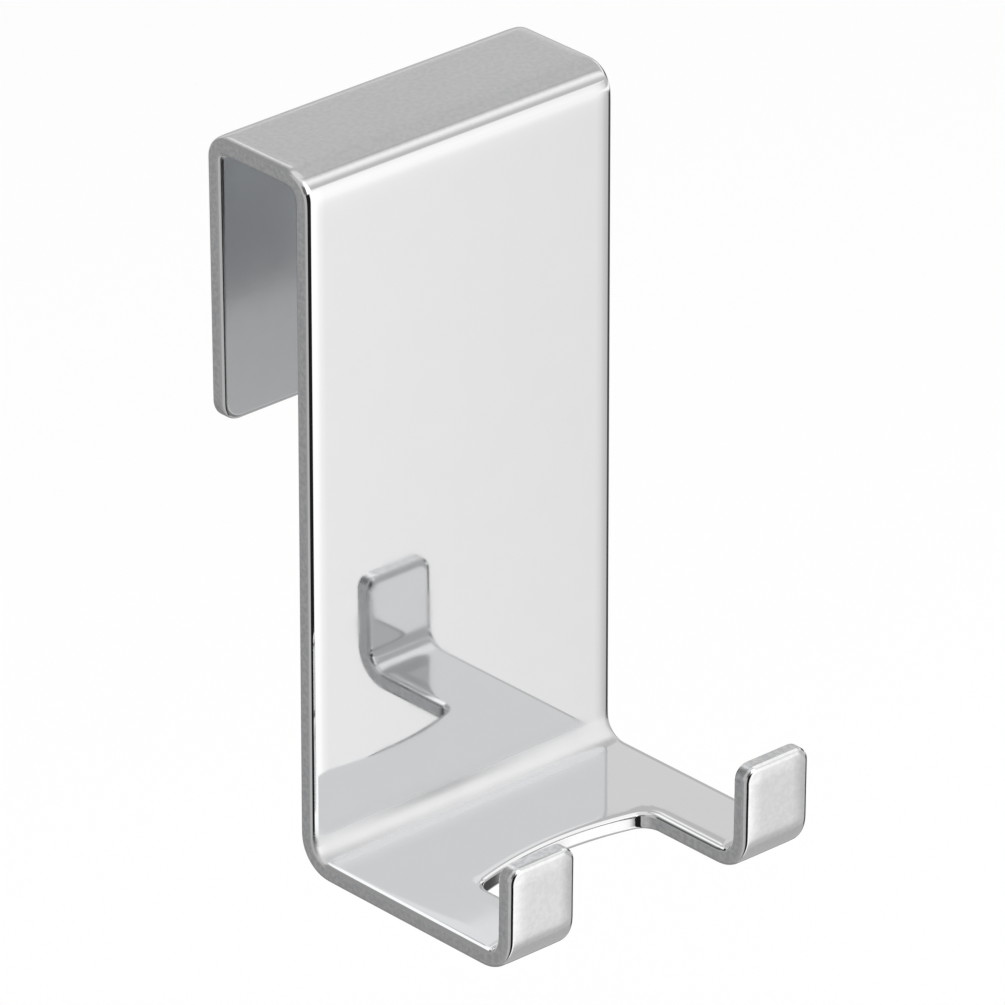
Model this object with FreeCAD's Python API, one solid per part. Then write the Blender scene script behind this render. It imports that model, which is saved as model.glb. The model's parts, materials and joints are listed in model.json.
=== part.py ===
import FreeCAD, Part
import math
import os

# Over door hook: one strip of polished metal, folded four times.
# A short lip hangs behind the door and a web lies on the door's top edge.
# A tall plate runs down the front, and its foot is folded forwards into a shelf.
# A notch cuts the shelf into two arms, and each arm's end is turned up into a tab.
#
# Millimetres. X runs across the strip, Y from the front of the door to its back, Z up.
# The origin is the middle of the web's underside, where the web sits on the door.

# Strip
strip_width = 60.0
strip_thickness = 3.0
edge_rounding = 0.9

# Door side
door_gap = 16.5
lip_length = 46.6
lip_pinch_deg = 0.65
lip_corner_radius = 3.4
back_bend_inside = 0.8

# Front plate
overall_height = 114.1
front_bend_inside = 1.6
foot_bend_inside = 3.0

# Shelf, arms and tabs
arm_reach = 43.6
arm_width = 13.0
shelf_depth = 19.8
notch_edge_radius = 56.0
notch_corner_radius = 2.8
tab_height = 17.9
tab_lean_deg = 0.9
tab_bend_inside = 3.0
tab_corner_radius = 2.4

# Levels and planes that follow from those sizes
half_width = strip_width / 2
half_notch = half_width - arm_width
half_gap = door_gap / 2
plate_back_y = -half_gap
plate_front_y = plate_back_y - strip_thickness
web_top_z = strip_thickness
shelf_bottom_z = web_top_z - overall_height
shelf_top_z = shelf_bottom_z + strip_thickness
tab_outer_y = plate_front_y - arm_reach
tab_top_z = shelf_bottom_z + tab_height
lip_pinch = math.radians(lip_pinch_deg)
tab_lean = math.radians(tab_lean_deg)


def side_point(y, z):
    """A point of the side view, in the plane through the middle of the strip's width."""
    return FreeCAD.Vector(0, y, z)


def meet(point_a, direction_a, point_b, direction_b):
    """The point where two lines of the side view cross."""
    across = FreeCAD.Vector(0, -direction_b.z, direction_b.y)
    travel = (point_b - point_a).dot(across) / direction_a.dot(across)
    return point_a + direction_a * travel


def rounded_outline(corners):
    """A closed wire through (point, radius) corners, with a tangent arc at each corner that has a radius."""
    starts = []
    edges = []
    for index, (corner, radius) in enumerate(corners):
        before = (corners[index - 1][0] - corner).normalize()
        after = (corners[(index + 1) % len(corners)][0] - corner).normalize()
        if radius == 0:
            starts.append((corner, corner))
            continue
        half_angle = before.getAngle(after) / 2
        inwards = (before + after).normalize()
        centre = corner + inwards * (radius / math.sin(half_angle))
        tangent = radius / math.tan(half_angle)
        first = corner + before * tangent
        last = corner + after * tangent
        edges.append(Part.Arc(first, centre - inwards * radius, last).toShape())
        starts.append((first, last))
    for index, (first, last) in enumerate(starts):
        previous_last = starts[index - 1][1]
        edges.append(Part.LineSegment(previous_last, first).toShape())
    return Part.Wire(Part.__sortEdges__(edges))


# Directions along the two members that lean a little: the lip down, the tabs up
up = FreeCAD.Vector(0, 0, 1)
level = FreeCAD.Vector(0, 1, 0)
lip_down = FreeCAD.Vector(0, -math.sin(lip_pinch), -math.cos(lip_pinch))
lip_outwards = FreeCAD.Vector(0, math.cos(lip_pinch), -math.sin(lip_pinch))
tab_up = FreeCAD.Vector(0, -math.sin(tab_lean), math.cos(tab_lean))
tab_outwards = FreeCAD.Vector(0, -math.cos(tab_lean), -math.sin(tab_lean))

# Lip: its inner face leaves the web's underside at the far side of the door gap
lip_root_inner = side_point(half_gap, 0)
lip_root_outer = meet(lip_root_inner + lip_outwards * strip_thickness, lip_down, side_point(0, web_top_z), level)
lip_end_outer = meet(lip_root_outer, lip_down, side_point(0, web_top_z - lip_length), level)
lip_end_inner = lip_end_outer - lip_outwards * strip_thickness

# Tab: its outer face is square above the end of the tab bend
tab_bend_outside = tab_bend_inside + strip_thickness
tab_face_start = side_point(tab_outer_y, shelf_bottom_z + tab_bend_outside)
tab_root_outer = meet(tab_face_start, tab_up, side_point(0, shelf_bottom_z), level)
tab_root_inner = meet(tab_face_start - tab_outwards * strip_thickness, tab_up, side_point(0, shelf_top_z), level)
tab_end_outer = meet(tab_root_outer, tab_up, side_point(0, tab_top_z), level)
tab_end_inner = tab_end_outer - tab_outwards * strip_thickness

# Side view of the folded strip, from the lip's end round the outer faces and back
side_corners = [
    (lip_end_outer, 0),
    (lip_root_outer, back_bend_inside + strip_thickness),
    (side_point(plate_front_y, web_top_z), front_bend_inside + strip_thickness),
    (side_point(plate_front_y, shelf_top_z), foot_bend_inside),
    (tab_root_inner, tab_bend_inside),
    (tab_end_inner, 0),
    (tab_end_outer, 0),
    (tab_root_outer, tab_bend_outside),
    (side_point(plate_back_y, shelf_bottom_z), foot_bend_inside + strip_thickness),
    (side_point(plate_back_y, 0), front_bend_inside),
    (lip_root_inner, back_bend_inside),
    (lip_end_inner, 0),
]
side_face = Part.Face(rounded_outline(side_corners))
side_face.translate(FreeCAD.Vector(-half_width, 0, 0))
strip = side_face.extrude(FreeCAD.Vector(strip_width, 0, 0))

# Notch between the arms: straight sides, and a far edge that bows towards the plate
clearance = strip_thickness
notch_middle_y = plate_front_y - shelf_depth
notch_bow = notch_edge_radius - math.sqrt(notch_edge_radius**2 - half_notch**2)
notch_side_y = notch_middle_y - notch_bow
notch_front_y = tab_end_outer.y - clearance
notch_floor_z = shelf_bottom_z - clearance
notch_height = tab_height + 2 * clearance


def notch_point(x, y):
    """A point of the notch's plan, below the shelf."""
    return FreeCAD.Vector(x, y, notch_floor_z)


notch_edge = Part.Arc(
    notch_point(-half_notch, notch_side_y),
    notch_point(0, notch_middle_y),
    notch_point(half_notch, notch_side_y),
)
notch_sides = Part.makePolygon([
    notch_point(half_notch, notch_side_y),
    notch_point(half_notch, notch_front_y),
    notch_point(-half_notch, notch_front_y),
    notch_point(-half_notch, notch_side_y),
])
notch_outline = Part.Wire([notch_edge.toShape()] + notch_sides.Edges)
strip = strip.cut(Part.Face(notch_outline).extrude(up * notch_height))


def edges_through(shape, points):
    """The shape's edges that have their middles at the points."""
    found = []
    for point in points:
        found.append(min(shape.Edges, key=lambda edge: edge.CenterOfMass.distanceToPoint(point)))
    return found


def at_sides(point, *side_places):
    """The point, once at each side place to the left and to the right."""
    return [FreeCAD.Vector(side * x, point.y, point.z) for x in side_places for side in (-1, 1)]


# Corners in the plan of the sheet: two on the lip, four on the tabs and two in the notch
lip_corners = at_sides((lip_end_outer + lip_end_inner) / 2, half_width)
tab_corners = at_sides((tab_end_outer + tab_end_inner) / 2, half_width, half_notch)
notch_corners = at_sides(side_point(notch_side_y, (shelf_bottom_z + shelf_top_z) / 2), half_notch)
strip = strip.makeFillet(lip_corner_radius, edges_through(strip, lip_corners))
strip = strip.makeFillet(tab_corner_radius, edges_through(strip, tab_corners))
strip = strip.makeFillet(notch_corner_radius, edges_through(strip, notch_corners))


def sharp_edges(shape):
    """The edges where two faces meet at an angle, which are the rims of the sheet."""
    sharp = []
    for edge in shape.Edges:
        faces = shape.ancestorsOfType(edge, Part.Face)
        middle = edge.valueAt((edge.FirstParameter + edge.LastParameter) / 2)
        normals = [face.normalAt(*face.Surface.parameter(middle)) for face in faces]
        if normals[0].getAngle(normals[1]) > math.radians(45):
            sharp.append(edge)
    return sharp


# Every rim is softened by the polishing
hook_strip = strip.makeFillet(edge_rounding, sharp_edges(strip))

os.makedirs("parts", exist_ok=True)
hook_strip.exportStep("parts/hook_strip.step")

print("hook_strip valid:", hook_strip.isValid(), "solids:", len(hook_strip.Solids), "faces:", len(hook_strip.Faces))
print("volume mm3:", round(hook_strip.Volume, 1), "box:", hook_strip.BoundBox)
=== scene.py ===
"""Over door hook: one polished strip, folded and forked, dressed as bright chrome in a white studio."""

import json
import logging
import math
from dataclasses import dataclass, field
from enum import Enum
from typing import NamedTuple

import bpy
import numpy as np
from mathutils import Matrix, Vector
from mathutils.geometry import delaunay_2d_cdt


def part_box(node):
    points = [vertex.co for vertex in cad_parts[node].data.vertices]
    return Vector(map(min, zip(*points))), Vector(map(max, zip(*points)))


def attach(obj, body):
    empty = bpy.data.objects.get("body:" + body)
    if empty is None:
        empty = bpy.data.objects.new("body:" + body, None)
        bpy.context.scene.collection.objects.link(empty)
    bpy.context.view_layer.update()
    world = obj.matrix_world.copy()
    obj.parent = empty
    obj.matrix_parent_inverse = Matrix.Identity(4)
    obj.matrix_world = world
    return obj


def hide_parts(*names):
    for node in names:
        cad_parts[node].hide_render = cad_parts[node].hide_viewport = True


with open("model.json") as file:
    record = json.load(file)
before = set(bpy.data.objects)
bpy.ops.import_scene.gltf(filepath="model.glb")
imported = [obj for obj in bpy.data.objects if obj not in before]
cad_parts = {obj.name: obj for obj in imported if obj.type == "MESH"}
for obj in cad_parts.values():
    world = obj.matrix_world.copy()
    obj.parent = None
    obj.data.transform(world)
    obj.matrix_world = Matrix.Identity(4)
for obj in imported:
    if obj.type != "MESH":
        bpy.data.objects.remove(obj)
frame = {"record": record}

LOG = logging.getLogger("over_door_hook")
NODE = "hook_strip"
BODY = "root"
MM = 0.001
SATIN = "satin"
GRAIN = "grain"
WHITE = (1.0, 1.0, 1.0, 1.0)
STUDIO_LIGHT = (1.0, 0.987, 0.974, 1.0)

Pair = tuple[float, float]
Socket = bpy.types.NodeSocket
NumberOrSocket = float | bpy.types.NodeSocket


class Side(Enum):
    """The two wide faces of the strip.

    OUTER is the lip's back, the web's top, the plate's front, the shelf's top and the tabs' plate side.
    INNER is the other face: the door side, the underside, and the side of the tabs that faces the room.
    """

    OUTER = 1
    INNER = -1


class Fold(Enum):
    """The four bends, in order along the strip."""

    BACK = "between lip and web"
    FRONT = "between web and plate"
    FOOT = "between plate and shelf"
    TAB = "between arms and tabs"


@dataclass(frozen=True)
class StripSizes:
    """Sizes of the folded strip, in metres and degrees.

    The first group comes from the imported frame. The second holds the sizes that the frame doesn't name.
    A run-out is the share of a bend's turn that its soft ends take, and how far they reach past its arc.
    """

    width: float
    thickness: float
    door_gap: float
    web_top: float
    shelf_bottom: float
    arm_width: float
    lip_pinch_deg: float

    lip_length: float = 46.6 * MM
    lip_corner_radius: float = 3.4 * MM
    back_bend_inside: float = 0.8 * MM
    front_bend_inside: float = 1.6 * MM
    foot_bend_inside: float = 3.0 * MM
    arm_reach: float = 43.6 * MM
    shelf_depth: float = 19.8 * MM
    notch_edge_radius: float = 56.0 * MM
    notch_corner_radius: float = 2.8 * MM
    tab_height: float = 17.9 * MM
    tab_lean_deg: float = 0.9
    tab_bend_inside: float = 3.0 * MM
    tab_corner_radius: float = 2.4 * MM
    front_run_out: Pair = (0.12, 4.5 * MM)
    foot_run_out: Pair = (0.1, 3.5 * MM)

    @classmethod
    def from_frame(cls, record: dict, low: Vector, high: Vector) -> "StripSizes":
        """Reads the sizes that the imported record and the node's box give.

        Args:
            record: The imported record, with its mounts.
            low: Lowest corner of the strip's node.
            high: Highest corner of the strip's node.

        Returns:
            The sizes of the strip.
        """
        mounts = {mount["name"]: mount for mount in record["mounts"]}
        arm_seat = mounts["right_arm_seat"]["pos_m"]
        lip_axis = mounts["lip_inner_face"]["axis"]
        width = high.x - low.x
        return cls(
            width=width,
            thickness=arm_seat[2] - low.z,
            door_gap=-2 * mounts["plate_back_face"]["pos_m"][1],
            web_top=high.z,
            shelf_bottom=low.z,
            arm_width=width - 2 * arm_seat[0],
            lip_pinch_deg=math.degrees(math.atan2(lip_axis[2], -lip_axis[1])),
        )

    @property
    def half_width(self) -> float:
        """Returns half the strip's width."""
        return self.width / 2

    @property
    def half_notch(self) -> float:
        """Returns half the notch's width, between the arms."""
        return self.half_width - self.arm_width

    @property
    def plate_front_y(self) -> float:
        """Returns the Y of the plate's front face."""
        return -self.door_gap / 2 - self.thickness


def smooth(share: np.ndarray) -> np.ndarray:
    """Eases shares that run from 0 to 1, at both ends."""
    return share * share * (3 - 2 * share)


def chunks(values: np.ndarray, size: int = 2000) -> list[np.ndarray]:
    """Returns the rows in blocks that fit in memory."""
    return [values[start:start + size] for start in range(0, len(values), size)]


@dataclass(frozen=True)
class Bend:
    """One fold of the strip: a near-circular bend whose last degrees run out softly into the flats."""

    corner: Pair
    radius: float
    run_out_share: float = 0.03
    run_out_length: float = 2.0 * MM
    easing: float = 0.25

    def curvature(self, turn: float, step: float) -> np.ndarray:
        """Works out the curvature along the bend.

        Args:
            turn: Angle that the bend turns, in radians, positive from +Y towards +Z.
            step: Distance between samples along the strip.

        Returns:
            Curvature at each sample, symmetric about the bend's middle.
        """
        half_arc = self.radius * abs(turn) / 2
        ease = self.easing * half_arc
        reach = max(half_arc + ease, half_arc + self.run_out_length)
        count = 2 * int(math.ceil(reach / step)) + 1
        along = (np.arange(count) - (count - 1) / 2) * step
        core = smooth(np.clip((half_arc + ease - np.abs(along)) / (2 * ease), 0, 1))
        tail = np.clip((reach - np.abs(along)) / (reach - half_arc), 0, 1) ** 2
        shape = (1 - self.run_out_share) * core / core.sum() + self.run_out_share * tail / tail.sum()
        return turn * shape / step


class FoldPath:
    """The strip's middle line in the side view, from the lip's free end to the tabs' free ends."""

    STEP = 0.02 * MM

    def __init__(self, start: Pair, bends: dict[Fold, Bend], end: Pair) -> None:
        """Lays the bends on their corners, with straight runs between them.

        Args:
            start: The lip's end, as Y and Z.
            bends: The folds, in order.
            end: The tabs' end, as Y and Z.
        """
        points = np.array([start] + [bend.corner for bend in bends.values()] + [end])
        legs = np.diff(points, axis=0)
        lengths = np.hypot(legs[:, 0], legs[:, 1])
        headings = np.unwrap(np.arctan2(legs[:, 1], legs[:, 0]))
        self.spans: dict[Fold, Pair] = {}
        self.arcs: dict[Fold, float] = {}
        curvature = [np.zeros(1)]
        travelled = 0.0
        used = 0.0
        for index, (fold, bend) in enumerate(bends.items()):
            turn = headings[index + 1] - headings[index]
            bent = bend.curvature(turn, self.STEP)
            setback = self._setback(bent, turn)
            straight = lengths[index] - used - setback
            curvature += [np.zeros(int(round(straight / self.STEP))), bent]
            travelled += straight
            self.spans[fold] = (travelled, travelled + len(bent) * self.STEP)
            self.arcs[fold] = bend.radius * abs(turn)
            travelled += len(bent) * self.STEP
            used = setback
        last = lengths[-1] - used
        curvature.append(np.zeros(int(round(last / self.STEP))))
        self.curvature = np.concatenate(curvature)
        self.along = np.arange(len(self.curvature)) * self.STEP
        self.length = float(self.along[-1])
        self.heading = headings[0] + self._summed(self.curvature)
        self.y = start[0] + self._summed(np.cos(self.heading))
        self.z = start[1] + self._summed(np.sin(self.heading))

    def _summed(self, rate: np.ndarray) -> np.ndarray:
        """Adds up a rate of change along the line, from 0 at its start."""
        return np.concatenate([[0], np.cumsum((rate[1:] + rate[:-1]) / 2) * self.STEP])

    def _setback(self, curvature: np.ndarray, turn: float) -> float:
        """Finds how far before its corner a bend begins.

        Args:
            curvature: Curvature samples of the bend.
            turn: The whole angle of the bend.

        Returns:
            Distance from the bend's start to its corner.
        """
        heading = np.cumsum(curvature) * self.STEP
        ahead = np.cos(heading).sum() * self.STEP
        aside = np.sin(heading).sum() * self.STEP
        return ahead - aside / math.tan(turn)

    def stations(self, flat_step: float, bend_step: float) -> np.ndarray:
        """Chooses where the mesh has its rows: close together in the bends, wider on the flats.

        Args:
            flat_step: Longest distance between rows on a flat.
            bend_step: Largest turn between two rows, in radians.

        Returns:
            Distances along the strip, from its start to its end.
        """
        rows = self._summed(1 / flat_step + np.abs(self.curvature) / bend_step)
        count = int(math.ceil(rows[-1]))
        return np.interp(np.linspace(0, rows[-1], count + 1), rows, self.along)

    def find_y(self, y: float, first: float, last: float) -> float:
        """Returns the distance along the strip, between two others, where the line has the given Y."""
        inside = (self.along >= first) & (self.along <= last)
        return float(np.interp(-y, -self.y[inside], self.along[inside]))

    def fold(self, flat: np.ndarray, normal: np.ndarray) -> tuple[np.ndarray, np.ndarray]:
        """Folds points of the flat strip, with their normals.

        Args:
            flat: Rows of distance along, distance across and height above the middle.
            normal: The normals of those points on the flat strip.

        Returns:
            The folded points and their unit normals.
        """
        along, across, height = flat.T
        heading = np.interp(along, self.along, self.heading)
        curvature = np.interp(along, self.along, self.curvature)
        y = np.interp(along, self.along, self.y)
        z = np.interp(along, self.along, self.z)
        points = np.column_stack([across, y + height * np.sin(heading), z - height * np.cos(heading)])
        tangent = normal[:, 0] / (1 + curvature * height)
        folded = np.column_stack([
            normal[:, 1],
            tangent * np.cos(heading) + normal[:, 2] * np.sin(heading),
            tangent * np.sin(heading) - normal[:, 2] * np.cos(heading),
        ])
        return points, folded / np.linalg.norm(folded, axis=1, keepdims=True)


@dataclass(frozen=True)
class Outline:
    """The closed outline of the flat strip, anticlockwise, with the outward direction at each point."""

    points: np.ndarray
    outwards: np.ndarray

    @staticmethod
    def _line(start: Pair, end: Pair, places: np.ndarray) -> list[np.ndarray]:
        """Samples a straight edge that has the outside on its left.

        Args:
            start: First point.
            end: Last point.
            places: Shares of the way, from 0 to 1.

        Returns:
            The points and the outward directions.
        """
        first, last = np.array(start), np.array(end)
        way = (last - first) / np.linalg.norm(last - first)
        outwards = np.tile([-way[1], way[0]], (len(places), 1))
        return [first + np.outer(places, last - first), outwards]

    @staticmethod
    def _arc(
        centre: Pair, radius: float, first: float, last: float, step: float, fewest: int = 6
    ) -> list[np.ndarray]:
        """Samples an arc. One that runs clockwise has its outside away from its centre, as a corner has.

        Args:
            centre: Centre of the arc.
            radius: Its radius.
            first: Angle of the first point, in radians.
            last: Angle of the last point, in radians.
            step: Longest distance between samples.
            fewest: Smallest number of steps.

        Returns:
            The points and the outward directions.
        """
        count = max(fewest, int(math.ceil(abs(last - first) * radius / step)))
        angles = np.linspace(first, last, count + 1)
        spokes = np.column_stack([np.cos(angles), np.sin(angles)])
        facing = 1 if last < first else -1
        return [np.array(centre) + radius * spokes, facing * spokes]

    @classmethod
    def of_strip(cls, sizes: StripSizes, path: FoldPath, rows: np.ndarray, step: float) -> "Outline":
        """Draws the outline of the fork-shaped blank from which the hook is folded.

        Args:
            sizes: Sizes of the strip.
            path: The folded middle line, which gives the notch's place along the strip.
            rows: Distances along the strip at which the mesh has rows.
            step: Distance between samples along curves and cross edges.

        Returns:
            The whole outline.
        """
        half, inner, end = sizes.half_width, sizes.half_notch, path.length
        lip, tab, notch = sizes.lip_corner_radius, sizes.tab_corner_radius, sizes.notch_corner_radius
        shelf_start, shelf_end = path.spans[Fold.FOOT][1], path.spans[Fold.TAB][0]
        middle = path.find_y(sizes.plate_front_y - sizes.shelf_depth, shelf_start, shelf_end)
        edge_radius = sizes.notch_edge_radius
        edge_centre = middle + edge_radius
        corner_across = inner - notch
        corner_along = edge_centre - math.sqrt((edge_radius - notch) ** 2 - corner_across**2)
        corner_angle = math.atan2(corner_across, corner_along - edge_centre)
        quarter = math.pi / 2
        fine = step / 3
        row_margin = 0.25 * step

        def cross(first: float, last: float) -> np.ndarray:
            """Returns even shares for an edge that runs across the strip."""
            return np.linspace(0, 1, max(2, int(math.ceil(abs(last - first) / step))) + 1)

        def lengthwise(first: float, last: float) -> np.ndarray:
            """Finds where an edge along the strip meets the mesh's rows.

            Args:
                first: Distance along the strip of the edge's start.
                last: Distance along the strip of the edge's end.

            Returns:
                Shares of the way, from 0 to 1.
            """
            low, high = min(first, last), max(first, last)
            inside = rows[(rows > low + row_margin) & (rows < high - row_margin)]
            places = (np.concatenate([[low], inside, [high]]) - low) / (high - low)
            return places if last > first else 1 - places[::-1]

        pieces = [
            cls._line((0, 0), (0, half - lip), cross(0, half - lip)),
            cls._arc((lip, half - lip), lip, math.pi, quarter, fine),
            cls._line((lip, half), (end - tab, half), lengthwise(lip, end - tab)),
            cls._arc((end - tab, half - tab), tab, quarter, 0, fine),
            cls._line((end, half - tab), (end, inner + tab), cross(half - tab, inner + tab)),
            cls._arc((end - tab, inner + tab), tab, 0, -quarter, fine),
            cls._line((end - tab, inner), (corner_along, inner), lengthwise(end - tab, corner_along)),
            cls._arc((corner_along, corner_across), notch, quarter, corner_angle, fine),
            cls._arc((edge_centre, 0), edge_radius, corner_angle, math.pi, step),
        ]
        points = np.vstack([pieces[0][0]] + [piece[0][1:] for piece in pieces[1:]])
        outwards = np.vstack([pieces[0][1]] + [piece[1][1:] for piece in pieces[1:]])
        mirror = np.array([1, -1])
        points = np.vstack([points, (points * mirror)[-2:0:-1]])
        outwards = np.vstack([outwards, (outwards * mirror)[-2:0:-1]])
        return cls(points[::-1], outwards[::-1])

    def inset(self, distance: float) -> np.ndarray:
        """Returns the outline moved inwards by a distance."""
        return self.points - distance * self.outwards

    def weights(self) -> np.ndarray:
        """Returns the length of outline that each point stands for."""
        gaps = np.linalg.norm(np.roll(self.points, -1, axis=0) - self.points, axis=1)
        return (gaps + np.roll(gaps, 1)) / 2

    def contains(self, points: np.ndarray) -> np.ndarray:
        """Tells which points lie inside the outline.

        Args:
            points: Points of the flat strip.

        Returns:
            True for each point inside.
        """
        inside = np.zeros(len(points), bool)
        ends = np.roll(self.points, -1, axis=0)
        for (ax, ay), (bx, by) in zip(self.points, ends):
            spans = (ay > points[:, 1]) != (by > points[:, 1])
            if spans.any():
                crossing = ax + (points[:, 1] - ay) * (bx - ax) / (by - ay)
                inside ^= spans & (points[:, 0] < crossing)
        return inside

    def distance(self, points: np.ndarray) -> np.ndarray:
        """Measures how far each point is from the outline's nearest sample.

        Args:
            points: Points of the flat strip.

        Returns:
            The distances.
        """
        nearest = []
        for block in chunks(points):
            apart = block[:, None] - self.points[None]
            nearest.append(np.sqrt((apart**2).sum(2).min(1)))
        return np.concatenate(nearest)


@dataclass(frozen=True)
class PolishedRim:
    """How polishing has rounded the strip's rims, and worn the faces that it reached down near them.

    The worn depth is that at a straight rim, and the wear runs out within the worn reach.
    """

    outer_inset: float = 1.3 * MM
    outer_drop: float = 0.7 * MM
    inner_inset: float = 0.95 * MM
    inner_drop: float = 0.9 * MM
    fullness: float = 2.1
    segments: int = 12
    worn_reach: float = 3.0 * MM
    worn_depth: float = 0.1 * MM
    pressed_tabs: float = 1.25
    pressed_cross_edges: float = 0.25

    def profile(self, thickness: float) -> list[np.ndarray]:
        """Draws the rim's section, from the outer face round the edge to the inner face.

        Args:
            thickness: Thickness of the strip.

        Returns:
            The inset, height, outward share of the normal and upward share of the normal at each sample.
        """
        outer = self._quarter(self.outer_inset, self.outer_drop, thickness)
        inner = self._quarter(self.inner_inset, self.inner_drop, thickness)
        parts = zip(outer, inner, (1, -1, 1, -1))
        return [np.concatenate([first, sign * last[::-1]]) for first, last, sign in parts]

    def _quarter(self, inset: float, drop: float, thickness: float) -> list[np.ndarray]:
        """Draws the section of one rounded rim, from the wide face to the edge.

        Args:
            inset: Width of the rounding on the wide face.
            drop: Its depth on the edge.
            thickness: Thickness of the strip.

        Returns:
            The inset, height, outward share of the normal and upward share of the normal at each sample.
        """
        turn = np.linspace(0, math.pi / 2, self.segments + 1)
        power = 2 / self.fullness
        outward = np.sin(turn) ** (2 - power) / inset
        upward = np.cos(turn) ** (2 - power) / drop
        size = np.hypot(outward, upward)
        return [
            inset * (1 - np.sin(turn) ** power),
            thickness / 2 - drop * (1 - np.cos(turn) ** power),
            outward / size,
            upward / size,
        ]

    def wear(
        self, outline: Outline, pressed: np.ndarray, points: np.ndarray
    ) -> tuple[np.ndarray, np.ndarray]:
        """Works out how far a worn face is worn down near its rims, which is most at outward corners.

        Args:
            outline: Outline of the flat strip.
            pressed: How hard the buffing wheel leant on each point of the outline.
            points: Points of the flat strip.

        Returns:
            The depth of the wear at each point, and how it changes along and across.
        """
        # The wear of one point, (1 - t**2)**3, adds up to 32/35 of the reach along a straight rim.
        straight_total = 32 / 35 * self.worn_reach
        length = outline.weights() * pressed * self.worn_depth / straight_total
        depth, slope = [], []
        for block in chunks(points):
            apart = (block[:, None] - outline.points[None]) / self.worn_reach
            near = np.clip(1 - (apart**2).sum(2), 0, None)
            depth.append((near**3 * length).sum(1))
            slope.append((-6 * (near**2 * length)[:, :, None] * apart).sum(1) / self.worn_reach)
        return np.concatenate(depth), np.vstack(slope)


class Polish(NamedTuple):
    """How satin a place is, from 0 for a mirror, and how grainy it is."""

    satin: float
    grain: float


@dataclass(frozen=True)
class PolishMap:
    """How each part of the strip is polished: a mirror only where the buffing wheel could lie flat.

    The foot's fades are shares of half the foot bend's arc, counted from its middle: where the plate's
    polish ends, where the bend's own begins and ends, and where the shelf's begins. A point begins to
    take an edge's polish where the height of its unit normal falls below edge_from.
    """

    cut_edge: Polish = Polish(0.85, 0.85)
    notch_edge: Polish = Polish(0.15, 0.1)
    door_side: Polish = Polish(0.35, 0.08)
    web: Polish = Polish(0.4, 0.3)
    front: Polish = Polish(0.0, 0.0)
    foot_bend: Polish = Polish(1.1, 0.0)
    shelf: Polish = Polish(0.05, 0.0)
    tab: Polish = Polish(0.12, 0.3)
    half_web_fade: float = 1.0 * MM
    foot_fades: tuple[float, float, float, float] = (-1.7, -0.6, 0.45, 1.1)
    notch_margin: float = 1.0 * MM
    edge_from: float = 0.35
    edge_fade: float = 0.3

    def shares(
        self, flat: np.ndarray, normal: np.ndarray, path: FoldPath, half_notch: float
    ) -> np.ndarray:
        """Works out the polish at each point.

        Args:
            flat: Points of the flat strip.
            normal: Their normals on the flat strip.
            path: The folded middle line.
            half_notch: Half the notch's width.

        Returns:
            Rows of how satin and how grainy the points are.
        """
        along, across = flat[:, 0], flat[:, 1]
        front_middle = sum(path.spans[Fold.FRONT]) / 2
        foot_middle = sum(path.spans[Fold.FOOT]) / 2
        foot_half = path.arcs[Fold.FOOT] / 2
        foot_places = [foot_middle + share * foot_half for share in self.foot_fades]
        tab_start, tab_end = path.spans[Fold.TAB]
        outer = self._blend(along, {
            front_middle - self.half_web_fade: self.web,
            front_middle + self.half_web_fade: self.front,
            foot_places[0]: self.front,
            foot_places[1]: self.foot_bend,
            foot_places[2]: self.foot_bend,
            foot_places[3]: self.shelf,
            path.length: self.front,
        })
        inner = self._blend(along, {tab_start: self.door_side, tab_end: self.tab})
        in_notch = np.abs(across) < half_notch - self.notch_margin
        notch = (along > foot_middle) & (along < tab_start) & in_notch
        edges = np.where(notch[:, None], self.notch_edge, self.cut_edge)
        facing = (normal[:, 2] / np.linalg.norm(normal, axis=1))[:, None]
        edge = np.clip((self.edge_from - np.abs(facing)) / self.edge_fade, 0, 1)
        return np.where(facing > 0, outer, inner) * (1 - edge) + edges * edge

    @staticmethod
    def _blend(along: np.ndarray, stops: dict[float, Polish]) -> np.ndarray:
        """Returns the polish at distances along the strip, from its stops."""
        columns = zip(*stops.values())
        return np.column_stack([np.interp(along, list(stops), values) for values in columns])


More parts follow.
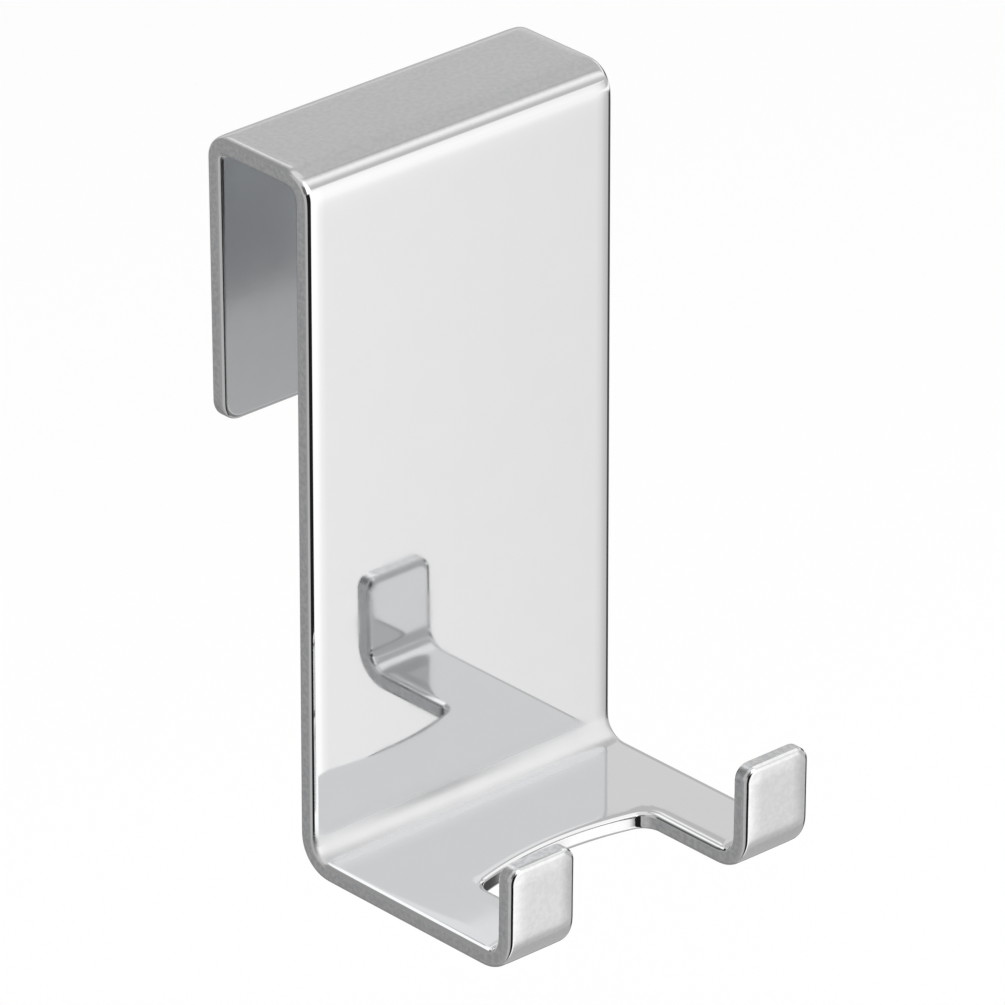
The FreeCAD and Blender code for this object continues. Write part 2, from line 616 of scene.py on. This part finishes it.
class NodeTree:
    """Small helpers that add nodes to a material or world."""

    def __init__(self, tree: bpy.types.NodeTree) -> None:
        """Takes a node tree and clears it."""
        self.tree = tree
        tree.nodes.clear()

    def add(self, kind: str, inputs: dict | None = None, **settings: object) -> bpy.types.Node:
        """Adds a node.

        Args:
            kind: Name of the node's type.
            inputs: Values or sockets for its inputs, by name or number.
            **settings: Values for its own properties.

        Returns:
            The new node.
        """
        node = self.tree.nodes.new(kind)
        for key, value in settings.items():
            setattr(node, key, value)
        for key, value in (inputs or {}).items():
            if isinstance(value, Socket):
                self.tree.links.new(value, node.inputs[key])
            else:
                node.inputs[key].default_value = value
        return node

    def attribute(self, name: str) -> Socket:
        """Adds a reading of a mesh attribute."""
        return self.add("ShaderNodeAttribute", attribute_name=name).outputs["Fac"]

    def noise(self, place: Socket, scale: float, detail: float) -> Socket:
        """Adds noise, with its scale in waves per metre."""
        inputs = {"Vector": place, "Scale": scale, "Detail": detail}
        return self.add("ShaderNodeTexNoise", inputs).outputs[0]

    def math(self, operation: str, *values: NumberOrSocket, clamp: bool = False) -> Socket:
        """Adds a Math node, whose result is kept between 0 and 1 where clamp is set."""
        inputs = dict(enumerate(values))
        return self.add("ShaderNodeMath", inputs, operation=operation, use_clamp=clamp).outputs[0]

    def blend(self, start: NumberOrSocket, end: NumberOrSocket, share: Socket) -> Socket:
        """Adds a mix of two numbers, by the end's share."""
        return self.math("MULTIPLY_ADD", self.math("SUBTRACT", end, start), share, start)

    def ramp(self, value: Socket, low: float, high: float, start: float, end: float) -> Socket:
        """Adds a smooth step from one number to another.

        Args:
            value: Socket that drives the step.
            low: Value where the step begins.
            high: Value where the step ends.
            start: Result before the step.
            end: Result after the step.

        Returns:
            The node's result.
        """
        inputs = {"Value": value, "From Min": low, "From Max": high, "To Min": start, "To Max": end}
        node = self.add("ShaderNodeMapRange", inputs, interpolation_type="SMOOTHSTEP")
        return node.outputs["Result"]

    def mix_colours(self, share: Socket, first: tuple[float, ...], second: tuple[float, ...]) -> Socket:
        """Adds a mix of two colours, which are the Mix node's sockets 6 and 7, by the second's share."""
        colours = {0: share, 6: (*first, 1.0), 7: (*second, 1.0)}
        return self.add("ShaderNodeMix", colours, data_type="RGBA").outputs[2]


@dataclass(frozen=True)
class PolishedChrome:
    """Bright chrome plate: a near mirror where the wheel reached, and a fine-grained satin elsewhere."""

    colour: tuple[float, float, float]
    name: str = "polished_chrome"
    mirror: float = 0.03
    mirror_haze: float = 0.03
    satin: float = 0.36
    satin_spread: float = 0.05
    wave_scale: float = 70.0
    wave_detail: float = 2.0
    wave_depth: float = 0.0000015
    grain_scale: float = 1300.0
    grain_detail: float = 3.0
    grain_depth: float = 0.000005
    grain_contrast: Pair = (0.36, 0.64)
    grain_shade: tuple[float, float, float] = (0.8, 0.814, 0.834)
    cloud_scale: float = 160.0
    cloud_detail: float = 4.0
    cloud_contrast: Pair = (0.3, 0.7)
    cloud_shade: float = 0.1

    def material(self) -> bpy.types.Material:
        """Makes the material, which reads from the mesh how satin and how grainy each place is.

        Returns:
            The material.
        """
        made = bpy.data.materials.new(self.name)
        made.use_nodes = True
        nodes = NodeTree(made.node_tree)
        place = nodes.add("ShaderNodeTexCoord").outputs["Object"]
        satin = nodes.attribute(SATIN)
        grainy = nodes.attribute(GRAIN)
        waves = nodes.noise(place, self.wave_scale, self.wave_detail)
        grain = nodes.noise(place, self.grain_scale, self.grain_detail)
        clouds = nodes.noise(place, self.cloud_scale, self.cloud_detail)
        mirror = nodes.ramp(clouds, *self.cloud_contrast, self.mirror, self.mirror + self.mirror_haze)
        smoothest = self.satin - self.satin_spread / 2
        roughest = self.satin + self.satin_spread / 2
        matt = nodes.ramp(clouds, *self.cloud_contrast, smoothest, roughest)
        roughness = nodes.blend(mirror, matt, satin)
        speckle = nodes.math("MULTIPLY", nodes.ramp(grain, *self.grain_contrast, 0.0, 1.0), grainy)
        mottle = nodes.math("MULTIPLY_ADD", clouds, self.cloud_shade, speckle, clamp=True)
        shaded = tuple(channel * shade for channel, shade in zip(self.colour, self.grain_shade))
        tint = nodes.mix_colours(mottle, self.colour, shaded)
        relief = nodes.math("MULTIPLY", nodes.math("MULTIPLY", grain, grainy), self.grain_depth)
        height = nodes.math("MULTIPLY_ADD", waves, self.wave_depth, relief)
        bump = nodes.add("ShaderNodeBump", {"Height": height, "Distance": 1.0})
        shader = nodes.add("ShaderNodeBsdfPrincipled", {
            "Base Color": tint,
            "Roughness": roughness,
            "Normal": bump.outputs["Normal"],
            "Metallic": 1.0,
        })
        nodes.add("ShaderNodeOutputMaterial", {"Surface": shader.outputs["BSDF"]})
        return made


@dataclass
class FoldedStrip:
    """The whole hook: the outline of a flat blank with polished rims, folded along the side view.

    The rim's clearance is a share of the column step.
    """

    sizes: StripSizes
    rim: PolishedRim = PolishedRim()
    polish: PolishMap = PolishMap()
    row_step: float = 1.0 * MM
    column_step: float = 1.0 * MM
    bend_step: float = math.radians(4)
    rim_clearance: float = 0.45
    path: FoldPath = field(init=False)
    rows: np.ndarray = field(init=False)
    outline: Outline = field(init=False)

    def __post_init__(self) -> None:
        """Lays out the fold, the mesh's rows and the outline."""
        self.path = self._side_view()
        self.rows = self.path.stations(self.row_step, self.bend_step)
        self.outline = Outline.of_strip(self.sizes, self.path, self.rows, self.column_step)

    def build(self, name: str) -> bpy.types.Object:
        """Builds the mesh of the hook, with the attributes that its finish reads.

        Args:
            name: Name of the new object.

        Returns:
            The object, in its place in the frame.
        """
        grid = self._flat_grid()
        flat, normal = self._blank(grid)
        satin, grain = self.polish.shares(flat, normal, self.path, self.sizes.half_notch).T
        self._wear_down(flat, normal)
        points, normals = self.path.fold(flat, normal)
        mesh = bpy.data.meshes.new(name)
        mesh.from_pydata(points.tolist(), [], self._polygons(grid))
        mesh.shade_smooth()
        mesh.normals_split_custom_set_from_vertices(normals.tolist())
        for attribute, values in ((SATIN, satin), (GRAIN, grain)):
            mesh.attributes.new(attribute, "FLOAT", "POINT").data.foreach_set("value", values)
        mesh.update()
        strip = bpy.data.objects.new(name, mesh)
        bpy.context.scene.collection.objects.link(strip)
        return strip

    def dress(self, strip: bpy.types.Object, finish: PolishedChrome) -> None:
        """Gives the hook its finish."""
        strip.data.materials.append(finish.material())

    def _side_view(self) -> FoldPath:
        """Works out the middle line of the folded strip.

        Returns:
            The path from the lip's end to the tabs' end.
        """
        size = self.sizes
        half = size.thickness / 2
        pinch, lean = math.radians(size.lip_pinch_deg), math.radians(size.tab_lean_deg)
        web_z, shelf_z = size.web_top - half, size.shelf_bottom + half
        plate_y = -size.door_gap / 2 - half
        lip_foot = size.door_gap / 2 + half / math.cos(pinch)
        tab_bend_outside = size.tab_bend_inside + size.thickness
        tab_y = plate_y - half - size.arm_reach + half / math.cos(lean)

        def lip_y(z: float) -> float:
            """Returns the lip's middle at a height."""
            return lip_foot + z * math.tan(pinch)

        def arm_end_y(z: float) -> float:
            """Returns the tab's middle at a height."""
            return tab_y - (z - size.shelf_bottom - tab_bend_outside) * math.tan(lean)

        lip_end = size.web_top - size.lip_length + half * math.sin(pinch)
        tab_end = size.shelf_bottom + size.tab_height - half * math.sin(lean)
        bends = {
            Fold.BACK: Bend((lip_y(web_z), web_z), size.back_bend_inside + half),
            Fold.FRONT: Bend((plate_y, web_z), size.front_bend_inside + half, *size.front_run_out),
            Fold.FOOT: Bend((plate_y, shelf_z), size.foot_bend_inside + half, *size.foot_run_out),
            Fold.TAB: Bend((arm_end_y(shelf_z), shelf_z), size.tab_bend_inside + half),
        }
        return FoldPath((lip_y(lip_end), lip_end), bends, (arm_end_y(tab_end), tab_end))

    def _flat_grid(self) -> np.ndarray:
        """Chooses the points inside the rims, in rows that line up with the rims' own points.

        Returns:
            Points of the flat strip.
        """
        inset = self.rim.outer_inset
        half, inner = self.sizes.half_width - inset, self.sizes.half_notch + inset
        arm = np.linspace(inner, half, max(2, round((half - inner) / self.column_step)) + 1)
        middle = np.linspace(-inner, inner, 2 * round(inner / self.column_step) + 1)[1:-1]
        columns = np.concatenate([-arm[::-1], middle, arm])
        points = np.array([(row, column) for row in self.rows for column in columns])
        points = points[self.outline.contains(points)]
        clear = inset + self.rim_clearance * self.column_step
        return points[self.outline.distance(points) > clear]

    def _blank(self, grid: np.ndarray) -> tuple[np.ndarray, np.ndarray]:
        """Lays out the flat strip: the rings of points round its rim, then both wide faces.

        Args:
            grid: The points of a wide face.

        Returns:
            The points and their normals.
        """
        thickness = self.sizes.thickness
        count = len(self.outline.points)
        flat, normal = [], []
        for inset, height, outward, upward in zip(*self.rim.profile(thickness)):
            flat.append(np.column_stack([self.outline.inset(inset), np.full(count, height)]))
            normal.append(np.column_stack([outward * self.outline.outwards, np.full(count, upward)]))
        for side in Side:
            flat.append(np.column_stack([grid, np.full(len(grid), side.value * thickness / 2)]))
            normal.append(np.tile([0.0, 0.0, float(side.value)], (len(grid), 1)))
        return np.vstack(flat), np.vstack(normal)

    def _wear_down(self, flat: np.ndarray, normal: np.ndarray) -> None:
        """Wears the wide faces down near their rims, in the arrays that it is given.

        Args:
            flat: Points of the flat strip.
            normal: Their normals on the flat strip.
        """
        depth, slope = self.rim.wear(self.outline, self._pressed(), flat[:, :2])
        worn = self._worn_side(flat)
        normal[:, :2] += normal[:, 2:] * slope * worn
        normal[:, 2] /= 1 - depth / self.sizes.thickness
        flat[:, 2] -= depth * worn[:, 0]

    def _pressed(self) -> np.ndarray:
        """Works out how hard the wheel leant on the outline: most on the tabs, least across the strip.

        Returns:
            A share for each point of the outline.
        """
        along, across = self.outline.points.T
        tab = along > self.path.spans[Fold.TAB][1]
        cross = ~tab & (np.abs(across) < self.sizes.half_notch - self.rim.outer_inset)
        return np.where(tab, self.rim.pressed_tabs, np.where(cross, self.rim.pressed_cross_edges, 1.0))

    def _worn_side(self, flat: np.ndarray) -> np.ndarray:
        """Works out which of the wide faces is worn: the outer one, but on the tabs the inner one.

        Args:
            flat: Points of the flat strip.

        Returns:
            A column of shares, from 1 on a worn outer face to -1 on a worn inner face.
        """
        start, end = self.path.spans[Fold.TAB]
        turned = np.clip((flat[:, :1] - start) / (end - start), 0, 1)
        return flat[:, 2:] / self.sizes.thickness + 0.5 - smooth(turned)

    def _triangles(self, loop: np.ndarray, grid: np.ndarray) -> list[tuple[int, ...]]:
        """Fills the rim's inmost ring with triangles.

        Args:
            loop: The inmost ring.
            grid: The points inside it.

        Returns:
            The triangles, which count the ring's points first and then the grid's.
        """
        given = [Vector(point / MM) for point in np.vstack([loop, grid])]
        ring = list(range(len(loop)))
        inside_only, same_point = 1, 1e-6
        result = delaunay_2d_cdt(given, [], [ring], inside_only, same_point)
        sources = [origins[0] for origins in result[3]]
        return [tuple(sources[corner] for corner in face) for face in result[2]]

    def _polygons(self, grid: np.ndarray) -> list[tuple[int, ...]]:
        """Joins the blank's points: quads between the rim's rings, and triangles on both wide faces.

        Args:
            grid: The points of a wide face.

        Returns:
            The faces of the mesh.
        """
        insets = self.rim.profile(self.sizes.thickness)[0]
        count = len(self.outline.points)
        last_ring = (len(insets) - 1) * count
        faces = []
        for upper in range(0, last_ring, count):
            lower = upper + count
            for place in range(count):
                after = (place + 1) % count
                faces.append((lower + place, lower + after, upper + after, upper + place))
        for triangle in self._triangles(self.outline.inset(insets[0]), grid):
            outer = [corner + (last_ring if corner >= count else 0) for corner in triangle]
            inner = [corner + last_ring + (len(grid) if corner >= count else 0) for corner in triangle]
            faces.append(tuple(outer))
            faces.append(tuple(reversed(inner)))
        return faces


@dataclass(frozen=True)
class SkyPatch:
    """A soft-edged patch of the studio's surroundings, as it is seen from the hook, in degrees.

    Azimuth 0 is behind the door, 90 to the hook's right, 180 in front of the plate.
    """

    name: str
    tone: float
    azimuth: float
    half_width: float
    low: float
    high: float
    soft_sides: float
    soft_low: float
    soft_high: float

    def cover(self, nodes: NodeTree, azimuth: Socket, elevation: Socket) -> Socket:
        """Adds the nodes that say how much of a direction the patch covers.

        Args:
            nodes: The world's nodes.
            azimuth: Azimuth of the direction.
            elevation: Elevation of the direction.

        Returns:
            A share, which is 1 in the patch and 0 away from it.
        """
        covers = []
        if self.half_width < 180:
            turned = nodes.math("WRAP", nodes.math("SUBTRACT", azimuth, self.azimuth), 180.0, -180.0)
            aside = nodes.math("ABSOLUTE", turned)
            covers.append(nodes.ramp(aside, self.half_width, self.half_width + self.soft_sides, 1, 0))
        if self.low > -90:
            covers.append(nodes.ramp(elevation, self.low - self.soft_low, self.low, 0, 1))
        if self.high < 90:
            covers.append(nodes.ramp(elevation, self.high, self.high + self.soft_high, 1, 0))
        share = covers[0]
        for more in covers[1:]:
            share = nodes.math("MULTIPLY", share, more)
        return share


@dataclass(frozen=True)
class Card:
    """A flat card near the hook that is seen only in the chrome. Its tone can change from foot to head.

    The foot is the middle of one edge. The facing is an azimuth, and a tilt of 90 lays the card level.
    Each tone is a distance from the foot and the light's strength there.
    """

    name: str
    foot: tuple[float, float, float]
    facing: float
    tilt: float
    half_width: float
    tones: tuple[Pair, ...]

    def build(self) -> None:
        """Builds the card."""
        turn, tilt = math.radians(self.facing), math.radians(self.tilt)
        back = math.sin(tilt)
        aside = Vector((math.cos(turn), -math.sin(turn), 0))
        upward = Vector((-math.sin(turn) * back, -math.cos(turn) * back, math.cos(tilt)))
        turned = Matrix((aside, upward, aside.cross(upward))).transposed().to_4x4()
        half, length = self.half_width, self.tones[-1][0]
        corners = [(-half, 0, 0), (half, 0, 0), (half, length, 0), (-half, length, 0)]
        mesh = bpy.data.meshes.new(self.name)
        mesh.from_pydata(corners, [], [(0, 1, 2, 3)])
        mesh.materials.append(self._glow())
        card = bpy.data.objects.new(self.name, mesh)
        card.matrix_world = Matrix.Translation(self.foot) @ turned
        bpy.context.scene.collection.objects.link(card)
        card.visible_camera = False
        card.visible_diffuse = False
        card.visible_shadow = False

    def _glow(self) -> bpy.types.Material:
        """Makes the card's light, which follows its tones from the foot to the head.

        Returns:
            The material.
        """
        made = bpy.data.materials.new(self.name)
        made.use_nodes = True
        nodes = NodeTree(made.node_tree)
        place = nodes.add("ShaderNodeTexCoord").outputs["Object"]
        along = nodes.add("ShaderNodeSeparateXYZ", {0: place}).outputs["Y"]
        tone: NumberOrSocket = self.tones[0][1]
        for (begin, _), (end, after) in zip(self.tones, self.tones[1:]):
            step = nodes.ramp(along, begin, end, 0.0, 1.0)
            tone = nodes.blend(tone, after, step)
        glow = nodes.add("ShaderNodeEmission", {"Color": STUDIO_LIGHT, "Strength": tone})
        nodes.add("ShaderNodeOutputMaterial", {"Surface": glow.outputs[0]})
        return made


@dataclass(frozen=True)
class Lamp:
    """A soft square lamp that faces the hook. Its size is a side's length, and its power is in watts."""

    name: str
    place: tuple[float, float, float]
    size: float
    power: float

    def build(self) -> None:
        """Hangs the lamp."""
        lamp = bpy.data.lights.new(self.name, "AREA")
        lamp.size = self.size
        lamp.energy = self.power
        holder = bpy.data.objects.new(self.name, lamp)
        holder.location = self.place
        holder.rotation_euler = Vector(self.place).to_track_quat("Z", "Y").to_euler()
        holder.visible_glossy = False
        bpy.context.scene.collection.objects.link(holder)


@dataclass(frozen=True)
class Studio:
    """The white studio round the hook: floor, world, lamps, and the cards that the chrome mirrors.

    A later patch covers an earlier one. The floor's glow is how far the camera sees it as plain white.
    """

    floor_drop: float = 0.12
    floor_size: float = 6.0
    floor_tone: float = 0.9
    floor_glow: float = 0.82
    room_tone: float = 0.6
    # Each row: name, tone, azimuth and half width, low and high end, softness of sides, low and high end.
    patches: tuple[SkyPatch, ...] = (
        SkyPatch("floor far below", 0.44, 0, 180, -90, -70, 0, 0, 22),
        SkyPatch("floor behind the door", 0.30, -18, 190, -70, -30, 0, 10, 16),
        SkyPatch("ceiling", 0.9, 0, 180, 68, 90, 0, 8, 0),
        SkyPatch("wall to the left", 0.36, -22, 32, -8, 54, 8, 8, 8),
        SkyPatch("overhead light, left", 1.1, 34, 4, 34, 40, 4, 3, 3),
        SkyPatch("front wall", 0.98, 152, 38, 20, 62, 4, 6, 8),
        SkyPatch("high front light", 1.6, 166, 14, 20, 58, 6, 4, 6),
        SkyPatch("pale wall to the right", 0.63, 122, 14, -50, 10, 8, 8, 8),
        SkyPatch("front light", 1.31, 158, 11.6, -70, 16, 18.3, 10, 7),
        SkyPatch("floor before the plate", 0.60, 122, 22, -78, -50, 6, 6, 22),
        SkyPatch("floor to the right", 0.08, 86, 25, -38, -20, 7, 6, 5),
        SkyPatch("floor to the right, near", 0.52, 88, 30, -78, -45, 8, 8, 6),
        SkyPatch("light to the right", 1.3, 76, 9, -14, -9, 4, 2, 3),
        SkyPatch("doorway to the right", 0.01, 75, 17, -4, 11, 3, 2, 3),
        SkyPatch("window to the right", 1.15, 83, 20, 17, 26, 4, 2, 3),
        SkyPatch("floor to the left", 0.40, -73, 33, -80, -4, 6, 8, 8),
        SkyPatch("window strip", 0.56, -128, 25, -75, 22, 3, 8, 6),
        SkyPatch("dark room", 0.015, -173, 18, -80, 16, 3, 8, 4),
        SkyPatch("dark room, high", 0.16, -152, 21, 18, 42, 4, 4, 6),
    )
    cards: tuple[Card, ...] = (
        Card("softbox", (0.36, -0.193, 0.098), facing=180, tilt=0, half_width=0.27, tones=(
            (0.0, 0.62), (0.03, 0.63), (0.06, 0.74), (0.10, 0.98), (0.15, 1.13),
            (0.20, 1.13), (0.27, 0.93), (0.34, 0.76), (0.46, 0.50), (0.58, 0.46),
        )),
        Card("back_card", (0.3346, 0.3716, -0.46), facing=42, tilt=0, half_width=0.26, tones=(
            (0.0, 1.0), (0.115, 1.0), (0.135, 0.70), (0.15, 0.68), (0.175, 0.58),
            (0.24, 0.56), (0.29, 0.56), (0.54, 0.58), (0.56, 0.79), (0.645, 0.79),
        )),
        Card("canopy", (0.094, -0.012, -0.006), facing=0, tilt=90, half_width=0.046, tones=(
            (0.0, 1.18), (0.108, 1.18),
        )),
    )
    lamps: tuple[Lamp, ...] = (
        Lamp("key", (0.5, -0.6, 0.9), size=0.8, power=7.0),
        Lamp("fill", (-0.8, -0.3, 0.9), size=1.0, power=5.4),
    )

    def build(self, low: Vector) -> None:
        """Builds the floor, the world, the cards and the lamps.

        Args:
            low: Lowest corner of the hook.
        """
        self._floor(low.z - self.floor_drop)
        self._world()
        for piece in self.cards + self.lamps:
            piece.build()
            LOG.info("%s: in place", piece.name)

    def _floor(self, height: float) -> None:
        """Lays the pale floor.

        Args:
            height: Its height.
        """
        half = self.floor_size / 2
        square = ((-half, -half), (half, -half), (half, half), (-half, half))
        mesh = bpy.data.meshes.new("studio_floor")
        mesh.from_pydata([(x, y, height) for x, y in square], [], [(0, 1, 2, 3)])
        floor = bpy.data.objects.new("studio_floor", mesh)
        bpy.context.scene.collection.objects.link(floor)
        floor.visible_glossy = False
        made = bpy.data.materials.new("studio_floor")
        made.use_nodes = True
        nodes = NodeTree(made.node_tree)
        path = nodes.add("ShaderNodeLightPath")
        paper = nodes.add("ShaderNodeBsdfDiffuse", {"Color": (self.floor_tone,) * 3 + (1.0,)})
        white = nodes.add("ShaderNodeEmission", {"Color": WHITE, "Strength": 1.0})
        seen = nodes.math("MULTIPLY", path.outputs["Is Camera Ray"], self.floor_glow)
        mix = nodes.add("ShaderNodeMixShader", {0: seen, 1: paper.outputs[0], 2: white.outputs[0]})
        nodes.add("ShaderNodeOutputMaterial", {"Surface": mix.outputs[0]})
        mesh.materials.append(made)

    def _world(self) -> None:
        """Makes the world: white for the camera, and the studio's patches for the chrome."""
        world = bpy.data.worlds.new("studio")
        bpy.context.scene.world = world
        world.use_nodes = True
        nodes = NodeTree(world.node_tree)
        toward = nodes.add("ShaderNodeTexCoord").outputs["Generated"]
        parts = nodes.add("ShaderNodeSeparateXYZ", {0: toward}).outputs
        azimuth = nodes.math("DEGREES", nodes.math("ARCTAN2", parts["X"], parts["Y"]))
        elevation = nodes.math("DEGREES", nodes.math("ARCSINE", parts["Z"]))
        tone: NumberOrSocket = self.room_tone
        for patch in self.patches:
            cover = patch.cover(nodes, azimuth, elevation)
            tone = nodes.blend(tone, patch.tone, cover)
        path = nodes.add("ShaderNodeLightPath")
        white = nodes.add("ShaderNodeBackground", {"Color": WHITE, "Strength": 1.0})
        mirrored = nodes.add("ShaderNodeBackground", {"Color": STUDIO_LIGHT, "Strength": tone})
        mixed = {0: path.outputs["Is Camera Ray"], 1: mirrored.outputs[0], 2: white.outputs[0]}
        mix = nodes.add("ShaderNodeMixShader", mixed)
        nodes.add("ShaderNodeOutputWorld", {"Surface": mix.outputs[0]})


@dataclass(frozen=True)
class PhotoCamera:
    """The camera at the photograph's viewing angle: a long lens, above the hook and to its left.

    It aims at the middle of the plate's front face, at the target's height above the shelf's underside.
    """

    azimuth_deg: float = 42.08
    elevation_deg: float = 26.494
    distance: float = 1.6807
    pixels_per_metre: float = 6753.0
    target_height: float = 0.055
    target_pixel: Pair = (462.643, 484.013)
    picture_size: float = 1005.0
    sensor: float = 36.0
    far_clip: float = 50.0

    def build(self, sizes: StripSizes) -> None:
        """Sets up the camera.

        Args:
            sizes: Sizes of the strip, which say where the target is.
        """
        target = Vector((0.0, sizes.plate_front_y, sizes.shelf_bottom + self.target_height))
        across, up = math.radians(self.azimuth_deg), math.radians(self.elevation_deg)
        level = math.cos(up)
        forward = Vector((math.sin(across) * level, math.cos(across) * level, -math.sin(up)))
        right = Vector((math.cos(across), -math.sin(across), 0))
        above = right.cross(forward)
        middle = self.picture_size / 2
        shift = right * (middle - self.target_pixel[0]) + above * (self.target_pixel[1] - middle)
        place = target + shift / self.pixels_per_metre - forward * self.distance
        camera = bpy.data.cameras.new("photo_camera")
        camera.sensor_width = self.sensor
        camera.lens = self.pixels_per_metre * self.distance * self.sensor / self.picture_size
        camera.clip_end = self.far_clip
        holder = bpy.data.objects.new("photo_camera", camera)
        turned = Matrix((right, above, -forward)).transposed().to_4x4()
        holder.matrix_world = Matrix.Translation(place) @ turned
        bpy.context.scene.collection.objects.link(holder)
        bpy.context.scene.camera = holder


def main() -> None:
    """Builds the hook, its finish, the studio and the camera."""
    logging.basicConfig(level=logging.INFO, format="%(message)s")
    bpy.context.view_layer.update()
    record = frame["record"]
    low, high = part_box(NODE)
    sizes = StripSizes.from_frame(record, low, high)
    folded = FoldedStrip(sizes)
    strip = folded.build("folded_strip")
    folded.dress(strip, PolishedChrome(tuple(record["materials"][0]["base_color"])))
    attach(strip, BODY)
    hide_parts(NODE)
    LOG.info("folded_strip: %d faces", len(strip.data.polygons))
    Studio().build(low)
    PhotoCamera().build(sizes)
    bpy.context.scene.view_settings.view_transform = "Standard"


if __name__ == "__main__":
    main()
